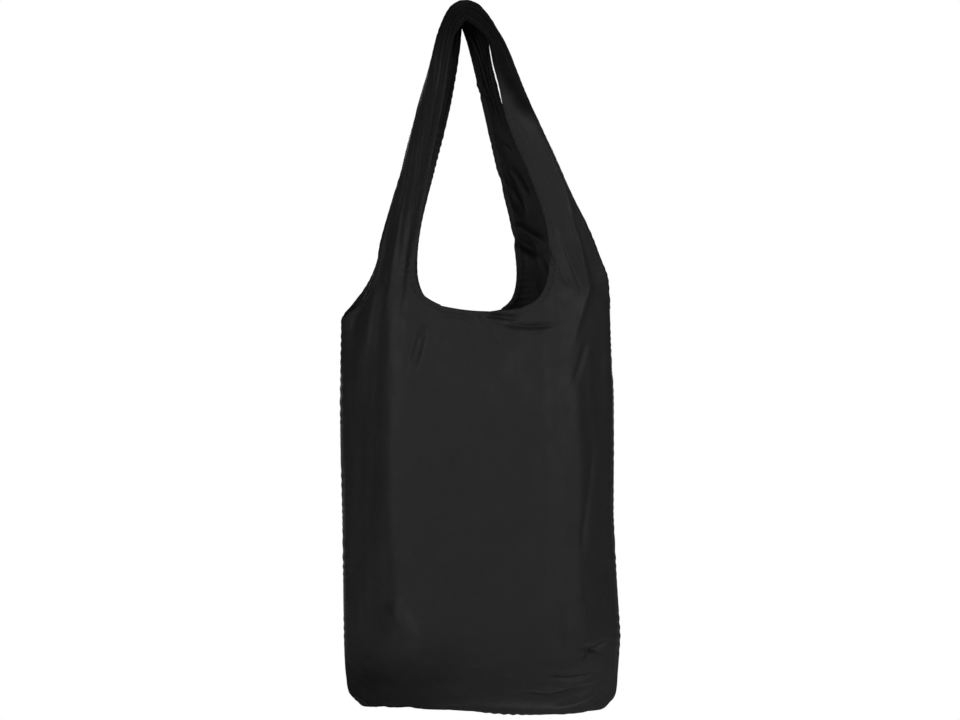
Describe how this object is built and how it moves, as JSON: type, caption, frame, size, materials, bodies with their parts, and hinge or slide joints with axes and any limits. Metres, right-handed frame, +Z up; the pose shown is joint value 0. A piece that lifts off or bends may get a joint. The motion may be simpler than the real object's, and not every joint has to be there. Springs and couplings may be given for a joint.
{
  "type": "foldable tote bag",
  "caption": "Thin cloth shopping tote with a scooped neckline, open armholes, a loop handle cut in one with each panel, and a small inner pouch with a press stud.",
  "frame": {"origin": "underside of the two handles where they meet over the hand or hook", "axes": "+Z up along the bag's height, X across its width, -Y out of the front panel"},
  "size_m": [0.295, 0.114, 0.761],
  "materials": {
    "cloth": "black lightweight polyester taffeta, soft satin sheen, fine plain weave",
    "binding": "black polyester tape, folded over the edge and stitched",
    "snap_metal": "black enamelled brass press stud"
  },
  "bodies": {
    "bag": {"front_panel": "cloth", "back_panel": "cloth", "left_side_seam": "cloth", "right_side_seam": "cloth", "bottom_seam": "cloth", "front_neck_binding": "binding", "back_neck_binding": "binding", "left_armhole_binding": "binding", "right_armhole_binding": "binding"},
    "front_handle": {"front_handle_left_strap": "cloth", "front_handle_right_strap": "cloth", "front_handle_top_seam": "cloth", "front_handle_inner_binding": "binding", "front_handle_outer_binding": "binding"},
    "back_handle": {"back_handle_left_strap": "cloth", "back_handle_right_strap": "cloth", "back_handle_top_seam": "cloth", "back_handle_inner_binding": "binding", "back_handle_outer_binding": "binding"},
    "pouch": {"pouch_back_layer": "cloth", "snap_stud": "snap_metal", "snap_post": "snap_metal"},
    "pouch_front": {"pouch_front_layer": "cloth", "pouch_mouth_hem": "binding", "snap_cap": "snap_metal", "snap_socket": "snap_metal"}
  },
  "joints": [
    {"name": "front_handle_fold", "type": "hinge", "parent": "bag", "child": "front_handle", "pos_m": [0.015, -0.04, -0.24], "axis": [1, 0, 0], "range_deg": [0, 150]},
    {"name": "back_handle_fold", "type": "hinge", "parent": "bag", "child": "back_handle", "pos_m": [0.015, 0.04, -0.24], "axis": [-1, 0, 0], "range_deg": [0, 150]},
    {"name": "pouch_swing", "type": "hinge", "parent": "bag", "child": "pouch", "pos_m": [0.015, -0.042, -0.3098], "axis": [1, 0, 0], "range_deg": [0, 72]},
    {"name": "pouch_mouth_open", "type": "hinge", "parent": "pouch", "child": "pouch_front", "pos_m": [0.015, -0.0391, -0.39], "axis": [-1, 0, 0], "range_deg": [0, 30]}
  ]
}
